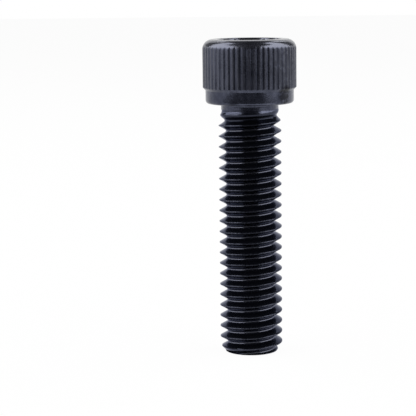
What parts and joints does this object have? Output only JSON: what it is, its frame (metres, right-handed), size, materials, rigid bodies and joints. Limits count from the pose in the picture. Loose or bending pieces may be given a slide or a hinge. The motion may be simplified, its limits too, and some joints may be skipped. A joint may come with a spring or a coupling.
{
  "type": "hex socket head cap screw",
  "caption": "Fully threaded hex socket cap screw with a tall knurled cylindrical head, rounded rim, plain band under the knurl and a bevelled tip, in black oxide steel.",
  "frame": {"origin": "centre of the flat end of the threaded tip", "axes": "+Z along the screw's axis from the tip to the head; +X through two opposite corners of the hexagon"},
  "size_m": [0.0138, 0.0138, 0.0468],
  "materials": {
    "black_oxide_steel": "black oxide, satin on the head and glossier on the rolled thread"
  },
  "bodies": {
    "root": {"cap_screw": "black_oxide_steel"}
  },
  "joints": []
}
